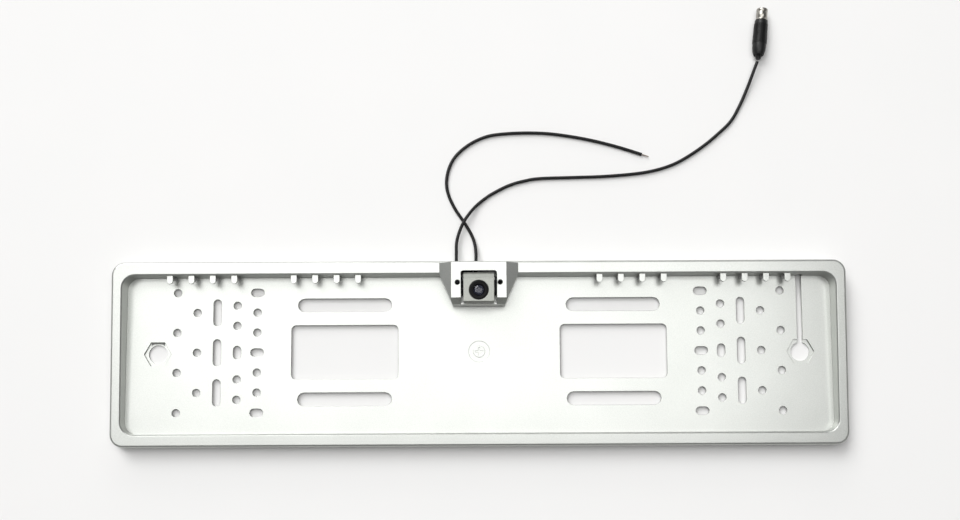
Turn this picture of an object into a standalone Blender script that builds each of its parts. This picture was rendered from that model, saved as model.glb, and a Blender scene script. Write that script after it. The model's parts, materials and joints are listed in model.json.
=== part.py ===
"""Number-plate frame with a tilting reversing camera, lying on its back.

X runs along the plate, Y points up the plate towards the camera pod, Z points
out of the plate. The origin is under the middle of the frame, on the surface
that the frame lies on. All sizes are in metres.
"""
import math

import bmesh
import bpy
from mathutils import Matrix, Vector

gap = 0.0003

# Frame: rim round a sunk, pierced panel
frame_width = 0.538
frame_height = 0.136
frame_corner = 0.010
rim_height_top = 0.0165
rim_height_bottom = 0.012
rail_side = 0.0082
rail_top = 0.010
rail_bottom = 0.0097
bay_corner = 0.009
rim_wall = 0.002
rim_front_wall = 0.0022
outer_rounding = 0.0018
rounding_steps = 4
inner_bevel = 0.0008
draft = 0.0004
panel_back = 0.0012
panel_front = 0.0032
corner_steps = 7

# Pattern of holes in the panel
top_margin = 0.0110
bottom_margin = 0.0155
hex_margin = 0.0231
hex_below_middle = 0.001
hex_across_flats = 0.0175
hex_depth = 0.0016
hex_hole = 0.014
hex_boss = 0.0245
hex_to_column = 0.0141
column_pitch = 0.0148
hole_diameter = 0.006
long_slot = 0.020
short_slot = 0.010
window_inner = 0.0597
window_to_column = 0.0253
window_radius = 0.0035
window_rows = 1.35
wide_slot = 0.010
wide_slot_rows = 2.35
wide_slot_inset = 0.0047
near_holes_rows = 1.34
slit_width = 0.004
slit_notch_height = 0.008
gate_dish = 0.0155
gate_dish_depth = 0.0005
gate_stub = 0.0088
gate_stub_height = 0.0007
gate_cross = 0.0012
rib_width = 0.0016
gusset_width = 0.0012

# Retaining lugs along the top rail
lug_width = 0.0044
lug_reach = 0.0063
lug_below_rim = 0.0021
lug_thickness = 0.0017
lug_pitch = 0.0157
lug_notch_depth = 0.0019
lug_group_past_column = 0.0091
lug_group_past_window = 0.0128

# Camera pod
pod_side_bevel = 0.0088
pod_foot_inset = 0.0096
pod_front = 0.024
pod_under = 0.0062
pod_shoulder = 0.0172
pod_wall = 0.0016
pod_top_setback = 0.0020
pod_lip_margin = 0.0003
pod_bevel_run = 0.0039
pod_bevel_drop = 0.007
lip_wall = 0.001
pod_corner_above_bay = 0.0001
pod_window_clearance = 0.0019
pod_window_setback = 0.0089
pod_window_radius = 0.002
lip_cut = 0.0002

# Camera head, placed from its pivot
face_half = 0.0112
head_body_half_x = 0.0104
head_body_half_y = 0.0092
head_margin = 0.001
face_thickness = 0.005
head_proud = 0.001
body_back_below_pivot = 0.0055
rear_cover_thickness = 0.0021
pivot_below_front = 0.0085
top_chamfer_run = 0.0049
top_chamfer_drop = 0.0028
bottom_chamfer = 0.0009
head_wall = 0.0016

# Lens and what is behind it
lens_ring_diameter = 0.0137
lens_ring_bore = 0.0086
lens_ring_height = 0.0012
barrel_diameter = 0.009
barrel_bore = 0.0064
front_lens_diameter = 0.008
rear_lens_diameter = 0.0056
board_thickness = 0.001
chip_size = 0.006
chip_height = 0.0008
holder_wall = 0.0004
holder_height = 0.0045

# Bracket, screws and washers
bracket_sheet = 0.001
bracket_depth = 0.0115
bracket_below_middle = 0.0039
washer_thickness = 0.0008
washer_diameter = 0.0056
pivot_screw_diameter = 0.002
pivot_head_diameter = 0.004
pivot_head_height = 0.0012
face_screw_margin = 0.0024
face_screw_to_edge = 0.0045
face_screw_up = 0.0036
face_screw_diameter = 0.002
face_screw_head = 0.0032
face_screw_head_height = 0.0008
cover_screw_diameter = 0.002
cover_screw_head = 0.0036
cover_screw_head_height = 0.0008
back_screw_inset = 0.0033
back_screw_up = 0.0044
rail_screw_inset = 0.0015
rail_screw_down = 0.005
boss_diameter = 0.0046
back_plate_thickness = 0.0012
back_pad_height = 0.0008
case_screw_diameter = 0.0012
case_screw_head = 0.0024
case_screw_head_height = 0.0008

# Leads
lead_diameter = 0.0024
lead_exit_height = 0.006
video_exit_x = -0.0166
power_exit_x = -0.0020
gland_from_side = 0.0064
gland_width = 0.0056
gland_height = 0.0034
gland_above_pivot = -0.0006
gland_flange = 0.0015
grommet_neck = 0.0044
grommet_flange = 0.0064
grommet_flange_thickness = 0.0014
jack_diameter = 0.0102
jack_length = 0.030
jack_entry = 0.0038
jack_entry_length = 0.010
jack_mouth = 0.0096
jack_turn = -6.2
jack_barrel_diameter = 0.0083
jack_barrel_wall = 0.0006
jack_barrel_length = 0.009
jack_contact_diameter = 0.0032
core_diameter = 0.0011
core_length = 0.0052

half_width = frame_width / 2
half_height = frame_height / 2
rim_slope = (rim_height_top - rim_height_bottom) / frame_height
bay_half = half_width - rail_side - draft
bay_top = half_height - rail_top - draft
bay_bottom = -half_height + rail_bottom + draft
row_pitch = (bay_top - bay_bottom - top_margin - bottom_margin) / 6
middle_row = bay_bottom + bottom_margin + 3 * row_pitch
hex_x = bay_half - hex_margin
column = [hex_x - hex_to_column - k * column_pitch for k in range(5)]
window_outer = column[4] - window_to_column
rail_inner_y = half_height - rail_top

pod_window_half = face_half + pod_window_clearance
face_screw_x = pod_window_half + face_screw_margin
pod_face_half = face_screw_x + face_screw_to_edge
pod_half = pod_face_half + pod_side_bevel
pod_foot_half = pod_half - pod_foot_inset
back_screw_x = pod_foot_half - back_screw_inset
rail_screw_x = pod_face_half - rail_screw_inset
pod_top = half_height - pod_top_setback
pod_bottom = (half_height - pod_window_setback - head_margin - 2 * face_half
              - pod_lip_margin)
pod_foot_z = pod_front - pod_bevel_drop
pod_face_bottom = pod_bottom + pod_bevel_run
pod_corner_y = bay_top - pod_corner_above_bay
window_top = half_height - pod_window_setback

head_top = window_top - head_margin
head_middle = head_top - face_half
head_front = pod_front + head_proud
pivot_z = head_front - pivot_below_front
face_back = head_front - face_thickness
body_back = pivot_z - body_back_below_pivot
case_split = body_back + rear_cover_thickness
case_back = case_split + gap
case_floor = head_front - 0.0026
holder_half = barrel_diameter / 2 + gap + holder_wall
lens_y = head_middle - (head_body_half_y - head_wall - gap - holder_half)
post_chamfer = head_body_half_x - head_wall - holder_half - gap
gland_x = gland_from_side - head_body_half_x

video_route = [
    (-0.0166, 0.0712, 0.0059), (-0.0166, 0.0750, 0.0054), (-0.0163, 0.0837, 0.0043),
    (-0.0143, 0.0915, 0.0040), (-0.0108, 0.0994, 0.0041), (-0.0062, 0.1062, 0.0035),
    (-0.0011, 0.1122, 0.0020), (0.0048, 0.1172, 0.0013), (0.0108, 0.1212, 0.0012),
    (0.0227, 0.1272, 0.0012), (0.0346, 0.1307, 0.0012), (0.0465, 0.1325, 0.0012),
    (0.0702, 0.1332, 0.0012), (0.0940, 0.1339, 0.0012), (0.1178, 0.1358, 0.0012),
    (0.1333, 0.1385, 0.0012), (0.1470, 0.1430, 0.0012), (0.1587, 0.1494, 0.0012),
    (0.1705, 0.1575, 0.0012), (0.1813, 0.1665, 0.0012), (0.1912, 0.1764, 0.0012),
    (0.1984, 0.1891, 0.0015), (0.2039, 0.2018, 0.0029), (0.2083, 0.2135, 0.0047),
    (0.2110, 0.2205, 0.0052)]
power_route = [
    (-0.0020, 0.0712, 0.0058), (-0.0021, 0.0755, 0.0046), (-0.0028, 0.0822, 0.0026),
    (-0.0052, 0.0896, 0.0014), (-0.0108, 0.0994, 0.0012), (-0.0177, 0.1099, 0.0012),
    (-0.0225, 0.1206, 0.0012), (-0.0239, 0.1301, 0.0012), (-0.0219, 0.1408, 0.0012),
    (-0.0166, 0.1503, 0.0012), (-0.0070, 0.1586, 0.0012), (0.0048, 0.1644, 0.0012),
    (0.0167, 0.1667, 0.0012), (0.0346, 0.1676, 0.0012), (0.0524, 0.1670, 0.0012),
    (0.0702, 0.1646, 0.0012), (0.0881, 0.1610, 0.0012), (0.1059, 0.1562, 0.0012),
    (0.1231, 0.1506, 0.0012)]
jack_start = Vector((0.2117, 0.2225, 0.0052))


def rim_z(y):
    """Height of the rim's front face, which falls from the top rail to the bottom one."""
    return rim_height_bottom + rim_slope * (y + half_height)


def material(name, colour, roughness, metallic=0.0, alpha=1.0):
    """Principled material from an sRGB hex colour."""
    found = bpy.data.materials.get(name)
    if found:
        return found
    made = bpy.data.materials.new(name)
    made.use_nodes = True
    shader = made.node_tree.nodes["Principled BSDF"]
    parts = [int(colour[i:i + 2], 16) / 255 for i in (0, 2, 4)]
    linear = [c / 12.92 if c <= 0.04045 else ((c + 0.055) / 1.055) ** 2.4 for c in parts]
    shader.inputs["Base Color"].default_value = (*linear, 1)
    shader.inputs["Roughness"].default_value = roughness
    shader.inputs["Metallic"].default_value = metallic
    shader.inputs["Alpha"].default_value = alpha
    made.diffuse_color = (*linear, alpha)
    return made


def silver_paint():
    return material("silver_paint", "d4d6d1", 0.35, 0.4)


def satin_silver():
    return material("satin_silver", "bdbfb9", 0.4, 0.5)


def black_steel():
    return material("black_steel", "1a1a1b", 0.4, 0.7)


def black_plastic():
    return material("black_plastic", "141415", 0.45)


def black_rubber():
    return material("black_rubber", "101011", 0.6)


def zinc_steel():
    return material("zinc_steel", "b9bab8", 0.3, 0.9)


def lens_glass():
    return material("lens_glass", "20222a", 0.05, 0.0, 0.5)


def board_green():
    return material("board_green", "1d5a36", 0.5)


# ---- building blocks -------------------------------------------------------

def finish(bm, name, look, smooth=False):
    """Turn a bmesh into a named object with flat, outward faces."""
    bmesh.ops.recalc_face_normals(bm, faces=bm.faces)
    bmesh.ops.connect_verts_nonplanar(bm, angle_limit=1e-4, faces=bm.faces)
    mesh = bpy.data.meshes.new(name)
    bm.to_mesh(mesh)
    bm.free()
    item = bpy.data.objects.new(name, mesh)
    bpy.context.scene.collection.objects.link(item)
    if look:
        mesh.materials.append(look)
    if smooth:
        mesh.shade_smooth()
        mesh.set_sharp_from_angle(angle=math.radians(35))
    return item


def hang_on(item, empty):
    """Parent a piece to its joint's empty and keep it where it stands."""
    item.parent = empty
    item.matrix_parent_inverse = empty.matrix_world.inverted()


def clean(mesh):
    """Close hairline seams left by a cut and split faces into triangles."""
    bm = bmesh.new()
    bm.from_mesh(mesh)
    bmesh.ops.remove_doubles(bm, verts=bm.verts, dist=2e-6)
    bmesh.ops.dissolve_degenerate(bm, dist=1e-6, edges=bm.edges)
    bmesh.ops.dissolve_limit(bm, angle_limit=math.radians(0.05), verts=bm.verts, edges=bm.edges)
    bmesh.ops.triangulate(bm, faces=bm.faces)
    bm.to_mesh(mesh)
    bm.free()


def combine(target, bm, operation):
    """Join the solids in bm to the target, or cut them from it."""
    tool = finish(bm, target.name + "_tool", None)
    modifier = target.modifiers.new("combine", "BOOLEAN")
    modifier.operation = operation
    modifier.solver = "EXACT"
    modifier.object = tool
    graph = bpy.context.evaluated_depsgraph_get()
    mesh = bpy.data.meshes.new_from_object(target.evaluated_get(graph))
    target.modifiers.clear()
    old = target.data
    target.data = mesh
    mesh.name = target.name
    clean(mesh)
    bpy.data.meshes.remove(old)
    spare = tool.data
    bpy.data.objects.remove(tool)
    bpy.data.meshes.remove(spare)


def cut(target, bm):
    combine(target, bm, "DIFFERENCE")


def join(target, bm):
    combine(target, bm, "UNION")


def add_loft(bm, loops):
    """Skin a stack of loops that have the same number of points, and cap its ends."""
    rows = [[bm.verts.new(point) for point in loop] for loop in loops]
    count = len(rows[0])
    for low, high in zip(rows, rows[1:]):
        for i in range(count):
            j = (i + 1) % count
            bm.faces.new((low[i], low[j], high[j], high[i]))
    bm.faces.new(rows[0][::-1])
    bm.faces.new(rows[-1])


def add_prism(bm, outline, low, high):
    """Upright prism over a flat outline."""
    add_loft(bm, [[(x, y, z) for x, y in outline] for z in (low, high)])


def add_box(bm, x, y, z):
    """Box between the given pairs of limits."""
    add_prism(bm, [(x[0], y[0]), (x[1], y[0]), (x[1], y[1]), (x[0], y[1])], z[0], z[1])


def rounded(x, y, radius, steps):
    """Rectangle between limits with round corners, anticlockwise from its right side."""
    points = []
    for side, (sx, sy) in enumerate(((1, 1), (-1, 1), (-1, -1), (1, -1))):
        centre_x = (x[1] - radius) if sx > 0 else (x[0] + radius)
        centre_y = (y[1] - radius) if sy > 0 else (y[0] + radius)
        for k in range(steps + 1):
            turn = math.pi / 2 * (side + k / steps)
            points.append((centre_x + radius * math.cos(turn), centre_y + radius * math.sin(turn)))
    return points


def frame_outline(inset):
    """Rim outline moved inwards by inset."""
    x = half_width - inset
    y = half_height - inset
    return rounded((-x, x), (-y, y), frame_corner - inset, corner_steps)


def bay_outline(outset):
    """Outline of the bay in the rim at panel level, moved outwards by outset."""
    x = bay_half + outset
    return rounded((-x, x), (bay_bottom - outset, bay_top + outset), bay_corner + outset,
                   corner_steps)


def circle(x, y, diameter, steps):
    return [(x + diameter / 2 * math.cos(2 * math.pi * k / steps),
             y + diameter / 2 * math.sin(2 * math.pi * k / steps)) for k in range(steps)]


def stadium(x, y, length, width, upright=False):
    """Slot outline with round ends."""
    steps = 6
    points = []
    for end in (0, 1):
        shift = (length - width) / 2 * (1 if end == 0 else -1)
        for k in range(steps + 1):
            turn = math.pi * (k / steps - 0.5 + end)
            points.append((shift + width / 2 * math.cos(turn), width / 2 * math.sin(turn)))
    if upright:
        points = [(-b, a) for a, b in points]
    return [(x + a, y + b) for a, b in points]


def turned(profile, steps=24, axis=None, at=(0, 0, 0)):
    """Solid of revolution from (radius, height) points that start and end on the axis."""
    bm = bmesh.new()
    loops = []
    for radius, height in profile[1:-1]:
        loops.append([(x, y, height) for x, y in circle(0, 0, 2 * radius, steps)])
    rows = [[bm.verts.new(point) for point in loop] for loop in loops]
    for low, high in zip(rows, rows[1:]):
        for i in range(steps):
            j = (i + 1) % steps
            bm.faces.new((low[i], low[j], high[j], high[i]))
    for row, height in ((rows[0], profile[0][1]), (rows[-1], profile[-1][1])):
        centre = bm.verts.new((0, 0, height))
        for i in range(steps):
            bm.faces.new((row[i], row[(i + 1) % steps], centre))
    place(bm, axis, at)
    return bm


def tube(outer, bore, low, high, steps=24, axis=None, at=(0, 0, 0)):
    """Plain ring or tube."""
    bm = bmesh.new()
    radii = ((outer / 2, low), (outer / 2, high), (bore / 2, high), (bore / 2, low))
    rows = []
    for radius, height in radii:
        rows.append([bm.verts.new((x, y, height)) for x, y in circle(0, 0, 2 * radius, steps)])
    for k in range(4):
        low_row = rows[k]
        high_row = rows[(k + 1) % 4]
        for i in range(steps):
            j = (i + 1) % steps
            bm.faces.new((low_row[i], low_row[j], high_row[j], high_row[i]))
    place(bm, axis, at)
    return bm


def place(bm, axis, at):
    """Stand a piece that was built along +Z on the given axis and point."""
    if axis is not None:
        turn = Vector((0, 0, 1)).rotation_difference(Vector(axis))
        bmesh.ops.rotate(bm, verts=bm.verts, matrix=turn.to_matrix())
    bmesh.ops.translate(bm, verts=bm.verts, vec=Vector(at))


def cut_by_planes(bm, planes):
    """Keep what lies behind every (point, outward normal) plane."""
    for point, normal in planes:
        geometry = bm.verts[:] + bm.edges[:] + bm.faces[:]
        done = bmesh.ops.bisect_plane(bm, geom=geometry, dist=1e-7, plane_co=Vector(point),
                                      plane_no=Vector(normal).normalized(), clear_outer=True)
        edges = [e for e in done["geom_cut"] if isinstance(e, bmesh.types.BMEdge)]
        if edges:
            bmesh.ops.edgeloop_fill(bm, edges=edges)


def screw(name, look, head, head_height, shank, length, axis, at, parent=None):
    """Pan-head screw: the head's underside is at the given point and the shank runs back."""
    cross = head * 0.16
    depth = head_height * 0.5
    shape = turned([(0, -length), (shank / 2, -length), (shank / 2, 0), (head / 2, 0),
                    (head / 2, head_height * 0.6), (head * 0.36, head_height),
                    (0, head_height)], 12)
    made = finish(shape, name, look, smooth=True)
    recess = bmesh.new()
    arm = head * 0.29
    outline = [(arm, -cross / 2), (arm, cross / 2), (cross / 2, cross / 2), (cross / 2, arm),
               (-cross / 2, arm), (-cross / 2, cross / 2), (-arm, cross / 2),
               (-arm, -cross / 2), (-cross / 2, -cross / 2), (-cross / 2, -arm),
               (cross / 2, -arm), (cross / 2, -cross / 2)]
    add_prism(recess, outline, head_height - depth, head_height + depth)
    cut(made, recess)
    turn = Vector((0, 0, 1)).rotation_difference(Vector(axis)).to_matrix().to_4x4()
    made.data.transform(Matrix.Translation(Vector(at)) @ turn)
    if parent:
        hang_on(made, parent)
    return made


# ---- plate frame -----------------------------------------------------------

def rim_levels(outlines):
    """Loops from (outline, height below the sloping front face) pairs."""
    return [[(x, y, rim_z(y) - drop) for x, y in outline] for outline, drop in outlines]


def frame_block():
    bm = bmesh.new()
    side = outer_rounding
    loops = [[(x, y, 0) for x, y in frame_outline(0)]]
    for k in range(rounding_steps + 1):
        turn = math.pi / 2 * k / rounding_steps
        inset = draft + side * (1 - math.cos(turn))
        loops += rim_levels([(frame_outline(inset), side * (1 - math.sin(turn)))])
    add_loft(bm, loops)
    return finish(bm, "plate_frame", silver_paint())


def cut_bay(frame):
    bm = bmesh.new()
    above = 0.002
    loops = [[(x, y, panel_front) for x, y in bay_outline(0)]]
    loops += rim_levels([(bay_outline(draft), inner_bevel),
                         (bay_outline(draft + inner_bevel), 0),
                         (bay_outline(draft + inner_bevel + above), -above)])
    add_loft(bm, loops)
    add_prism(bm, bay_outline(0), -0.001, panel_back)
    cut(frame, bm)


def cut_channel(frame):
    """The rim is a channel that is open at the back."""
    bm = bmesh.new()
    outer = frame_outline(rim_wall + draft)
    inner = bay_outline(rim_wall)
    levels = [[(x, y, -0.001) for x, y in outer], rim_levels([(outer, rim_front_wall)])[0],
              rim_levels([(inner, rim_front_wall)])[0], [(x, y, -0.001) for x, y in inner]]
    rows = [[bm.verts.new(point) for point in level] for level in levels]
    count = len(outer)
    for k in range(4):
        for i in range(count):
            j = (i + 1) % count
            bm.faces.new((rows[k][i], rows[k][j], rows[(k + 1) % 4][j], rows[(k + 1) % 4][i]))
    cut(frame, bm)


def lug_places():
    """Middle of each lug along the top rail."""
    groups = [column[2] + lug_group_past_column,
              (window_inner + window_outer) / 2 + lug_group_past_window]
    return [side * (middle + (k - 1.5) * lug_pitch)
            for middle in groups for k in range(4) for side in (-1, 1)]


def add_lug(bm, x):
    """Half-round tab that stands in from the top rail just under its front face."""
    wall = rail_inner_y
    top = rim_z(wall) - lug_below_rim
    radius = lug_width / 2
    tip = wall - lug_reach + radius
    outline = [(x + radius, wall + rim_wall / 2), (x - radius, wall + rim_wall / 2)]
    for k in range(9):
        turn = math.pi * (1 + k / 8)
        outline.append((x + radius * math.cos(turn), tip + radius * math.sin(turn)))
    add_prism(bm, outline, top - lug_thickness, top)


def stiffen(frame):
    """Lugs, gussets across the rim's channel, ribs and bosses behind the panel."""
    bm = bmesh.new()
    for x in lug_places():
        add_lug(bm, x)
    bite = rim_wall / 4
    for x in (hex_x + 0.003, column[4] - 0.007, window_inner + 0.0105):
        for side in (-1, 1):
            reach = (side * x - gusset_width / 2, side * x + gusset_width / 2)
            y = (rail_inner_y + rim_wall - bite, half_height - rim_wall - draft + bite)
            add_box(bm, reach, y, (0, rim_z(y[0]) - rim_front_wall + bite))
            y = (-half_height + rim_wall + draft - bite, bay_bottom - rim_wall + bite)
            add_box(bm, reach, y, (0, rim_z(y[0]) - rim_front_wall + bite))
    for side in (-1, 1):
        for share in (-0.5, 0.5):
            middle = middle_row + share * 4 * row_pitch
            limits = sorted((side * (bay_half + rim_wall - bite),
                             side * (half_width - rim_wall - draft + bite)))
            add_box(bm, limits, (middle - gusset_width / 2, middle + gusset_width / 2),
                    (0, rim_z(middle) - rim_front_wall + bite))
    joined = panel_back + (panel_front - panel_back) / 2
    upright = (column[4] + window_outer) / 2 - 0.002
    for side in (-1, 1):
        add_box(bm, sorted((side * upright - rib_width / 2, side * upright + rib_width / 2)),
                (bay_bottom - bite, bay_top + bite), (0, joined))
        rib_y = middle_row + side * (window_rows + wide_slot_rows) * row_pitch / 2.14
        add_box(bm, (-upright + rib_width, upright - rib_width),
                (rib_y - rib_width / 2, rib_y + rib_width / 2), (0, joined))
        add_prism(bm, circle(side * hex_x, middle_row - hex_below_middle, hex_boss, 24), 0,
                  joined)
    join(frame, bm)


def hole_pattern(bm, side):
    """Holes, slots and window on one half of the panel."""
    low, high = -0.001, panel_front + 0.001

    def hole(x, row):
        add_prism(bm, circle(side * x, middle_row + row * row_pitch, hole_diameter, 16), low, high)

    def slot(x, row, length, upright):
        outline = stadium(side * x, middle_row + row * row_pitch, length, hole_diameter, upright)
        add_prism(bm, outline, low, high)

    for row in (-3, -1, 1, 3):
        hole(column[0], row)
    for row in (-2, 0, 2):
        hole(column[1], row)
        slot(column[2], row, long_slot, True)
    for row in (-wide_slot_rows, -near_holes_rows, near_holes_rows, wide_slot_rows):
        hole(column[3], row)
    slot(column[3], 0, short_slot, True)
    for row in (-2, -1, 1, 2):
        hole(column[4], row)
    for row in (-3, 0, 3):
        slot(column[4], row, short_slot, False)
    middle = (window_inner + window_outer) / 2
    length = window_outer - window_inner - 2 * wide_slot_inset
    for row in (-wide_slot_rows, wide_slot_rows):
        outline = stadium(side * middle, middle_row + row * row_pitch, length, wide_slot)
        add_prism(bm, outline, low, high)
    half = window_rows * row_pitch
    limits = sorted((side * window_inner, side * window_outer))
    add_prism(bm, rounded(limits, (middle_row - half, middle_row + half), window_radius, 5),
              low, high)


def pierce(frame):
    bm = bmesh.new()
    for side in (-1, 1):
        hole_pattern(bm, side)
        hex_y = middle_row - hex_below_middle
        corner = hex_across_flats / math.sqrt(3)
        hexagon = [(side * hex_x + corner * math.cos(math.pi / 3 * k),
                    hex_y + corner * math.sin(math.pi / 3 * k)) for k in range(6)]
        add_prism(bm, hexagon, panel_front - hex_depth, panel_front + 0.001)
    for x in lug_places():
        half = lug_width / 2 - gap
        add_box(bm, (x - half, x + half),
                (bay_top - lug_notch_depth, bay_top + rim_wall + 2 * draft),
                (-0.001, slit_notch_height))
    add_prism(bm, circle(0, middle_row, gate_dish, 24), panel_front - gate_dish_depth,
              panel_front + 0.001)
    cut(frame, bm)
    bm = bmesh.new()
    for side in (-1, 1):
        add_prism(bm, circle(side * hex_x, middle_row - hex_below_middle, hex_hole, 24), -0.001,
                  panel_front + 0.001)
    cut(frame, bm)
    bm = bmesh.new()
    add_box(bm, (hex_x - slit_width / 2, hex_x + slit_width / 2),
            (middle_row, bay_top + rim_wall + 2 * draft), (-0.001, slit_notch_height))
    cut(frame, bm)


def gate_mark(frame):
    """Round stub left in the dish where the plastic entered the mould."""
    bm = bmesh.new()
    add_prism(bm, circle(0, middle_row, gate_stub, 16), panel_back + gate_dish_depth,
              panel_front - gate_dish_depth + gate_stub_height)
    join(frame, bm)
    top = panel_front - gate_dish_depth + gate_stub_height
    for across in (0, 1):
        bm = bmesh.new()
        arm = (-gate_stub * 0.32, gate_stub * 0.32)
        width = (-gate_cross / 2, gate_cross / 2)
        x, y = (arm, width) if across == 0 else (width, arm)
        add_box(bm, x, (middle_row + y[0], middle_row + y[1]), (top - 0.0004, top + 0.001))
        cut(frame, bm)


def rail_openings(frame):
    """Notch behind the camera, lead holes in the outer wall and the pod's screw holes."""
    bm = bmesh.new()
    add_box(bm, (-pod_window_half - 0.0014, pod_window_half + 0.0014),
            (bay_top - 0.001, rail_inner_y + 0.0055),
            (pod_under - 0.0012, rim_height_top + 0.003))
    for x in (-rail_screw_x, rail_screw_x):
        add_prism(bm, circle(x, half_height - rail_screw_down, cover_screw_diameter + 2 * gap, 12),
                  rim_height_bottom, rim_height_top + 0.002)
    cut(frame, bm)
    for x in (video_exit_x, power_exit_x):
        hole = turned([(0, -0.002), (grommet_neck / 2 + gap, -0.002),
                       (grommet_neck / 2 + gap, 0.004), (0, 0.004)], 16, (0, 1, 0),
                      (x, half_height - rim_wall - draft, lead_exit_height))
        cut(frame, hole)


def make_frame():
    frame = frame_block()
    cut_bay(frame)
    cut_channel(frame)
    stiffen(frame)
    pierce(frame)
    gate_mark(frame)
    rail_openings(frame)
    return frame


# ---- camera pod ------------------------------------------------------------

def pod_planes(wall, lip):
    """The pod's outer faces, moved inwards by wall, and its bottom face by lip."""
    def through(a, b, outward, inset):
        run = Vector(b) - Vector(a)
        normal = run.cross(Vector(outward)).normalized()
        return Vector(a) - normal * inset, normal

    planes = [((0, 0, pod_front - wall), (0, 0, 1)),
              ((0, pod_bottom + lip, 0), (0, -1, 0)),
              ((0, pod_top - wall, rim_height_top), (0, 1, 0.05))]
    bevel_low = (0, pod_bottom, pod_foot_z)
    bevel_high = (0, pod_face_bottom, pod_front)
    planes.append(through(bevel_low, bevel_high, (-1, 0, 0), lip))
    for side in (-1, 1):
        planes.append(((side * (pod_half - wall), 0, 0), (side, 0, 0)))
        edge_low = (side * pod_half, 0, pod_shoulder)
        edge_high = (side * pod_face_half, 0, pod_front)
        planes.append(through(edge_low, edge_high, (0, -side, 0), wall))
        foot = (side * pod_foot_half, pod_bottom, 0)
        corner = (side * pod_half, pod_corner_y, 0)
        planes.append(through(foot, corner, (0, 0, side), wall))
    return planes


def pod_solid(wall, lip, low):
    bm = bmesh.new()
    add_box(bm, (-0.1, 0.1), (-0.1, 0.1), (low, 0.1))
    cut_by_planes(bm, pod_planes(wall, lip))
    return bm


def rail_block():
    """Space that the top rail takes under the pod, with clearance."""
    bm = bmesh.new()
    add_box(bm, (-0.1, 0.1), (bay_top - gap, 0.1), (-0.01, 0.1))
    cut_by_planes(bm, [((0, half_height, rim_height_top + gap), (0, -rim_slope, 1))])
    return bm


def make_pod():
    pod = finish(pod_solid(0, 0, pod_under), "pod_cover", silver_paint())
    cut(pod, pod_solid(pod_wall, lip_wall, pod_under - 0.001))
    boss_bottom = pod_under + back_plate_thickness + back_pad_height + gap
    inside = pod_front - pod_wall / 2
    for side in (-1, 1):
        bm = bmesh.new()
        add_prism(bm, circle(side * back_screw_x, pod_bottom + back_screw_up, boss_diameter, 16),
                  boss_bottom, inside)
        cut_by_planes(bm, pod_planes(pod_wall / 2, lip_wall / 2))
        join(pod, bm)
    bm = bmesh.new()
    for side in (-1, 1):
        add_prism(bm, circle(side * rail_screw_x, half_height - rail_screw_down, boss_diameter,
                             16), rim_height_top, inside)
    join(pod, bm)
    cut(pod, rail_block())
    bm = bmesh.new()
    pilot = cover_screw_diameter + 2 * gap
    for side in (-1, 1):
        add_prism(bm, circle(side * back_screw_x, pod_bottom + back_screw_up, pilot, 12),
                  boss_bottom - 0.002, boss_bottom + 0.008)
        add_prism(bm, circle(side * rail_screw_x, half_height - rail_screw_down, pilot, 12),
                  rim_height_bottom, rim_height_top + 0.0045)
        x, y = side * face_screw_x, head_middle + face_screw_up
        add_prism(bm, circle(x, y, face_screw_diameter + 2 * gap, 12), pod_front - 0.004,
                  pod_front - 0.0005)
    add_prism(bm, rounded((-pod_window_half, pod_window_half), (0, window_top),
                          pod_window_radius, 4), pod_foot_z - lip_cut, pod_front + 0.002)
    cut(pod, bm)
    bm = bmesh.new()
    for side in (-1, 1):
        x, y = side * face_screw_x, head_middle + face_screw_up
        add_prism(bm, circle(x, y, face_screw_head + 2 * gap, 16), pod_front - 0.0009,
                  pod_front + 0.001)
    cut(pod, bm)


def make_back_plate():
    """Flat plate that closes the pod behind the camera."""
    top = pod_under + back_plate_thickness
    plate = finish(pod_solid(pod_wall + gap, lip_wall + gap, pod_under), "pod_back_plate",
                   silver_paint())
    bm = bmesh.new()
    add_box(bm, (-0.1, 0.1), (-0.1, 0.1), (top, 0.1))
    cut(plate, bm)
    bm = bmesh.new()
    add_box(bm, (-0.1, 0.1), (bay_top - gap - 0.0004, 0.1), (-0.01, 0.1))
    cut(plate, bm)
    places = [(side * back_screw_x, pod_bottom + back_screw_up) for side in (-1, 1)]
    bm = bmesh.new()
    for x, y in places:
        add_prism(bm, circle(x, y, cover_screw_head + 0.002, 16),
                  pod_under + back_plate_thickness / 2, top + back_pad_height)
    join(plate, bm)
    seat = pod_under + cover_screw_head_height + gap
    bm = bmesh.new()
    for x, y in places:
        add_prism(bm, circle(x, y, cover_screw_diameter + 2 * gap, 12), pod_under - 0.001,
                  top + 0.002)
    cut(plate, bm)
    bm = bmesh.new()
    for x, y in places:
        add_prism(bm, circle(x, y, cover_screw_head + 2 * gap, 16), pod_under - 0.001, seat)
    cut(plate, bm)
    for side, (x, y) in zip(("left", "right"), places):
        screw("back_screw_" + side, zinc_steel(), cover_screw_head, cover_screw_head_height,
              cover_screw_diameter, 0.0078, (0, 0, -1), (x, y, seat - gap))


def make_rail_screws():
    y = half_height - rail_screw_down
    seat = rim_z(y) - rim_front_wall - gap
    for name, side in (("left", -1), ("right", 1)):
        screw("rail_screw_" + name, zinc_steel(), cover_screw_head, cover_screw_head_height,
              cover_screw_diameter, 0.006, (0, 0, -1), (side * rail_screw_x, y, seat))


# ---- bracket ---------------------------------------------------------------

arm_inner = max(head_body_half_x + gap + washer_thickness + gap, face_half + 2 * gap)
arm_outer = arm_inner + bracket_sheet
bracket_low = pod_under + back_plate_thickness + gap
bracket_high = pod_front - pod_wall - gap


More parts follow.
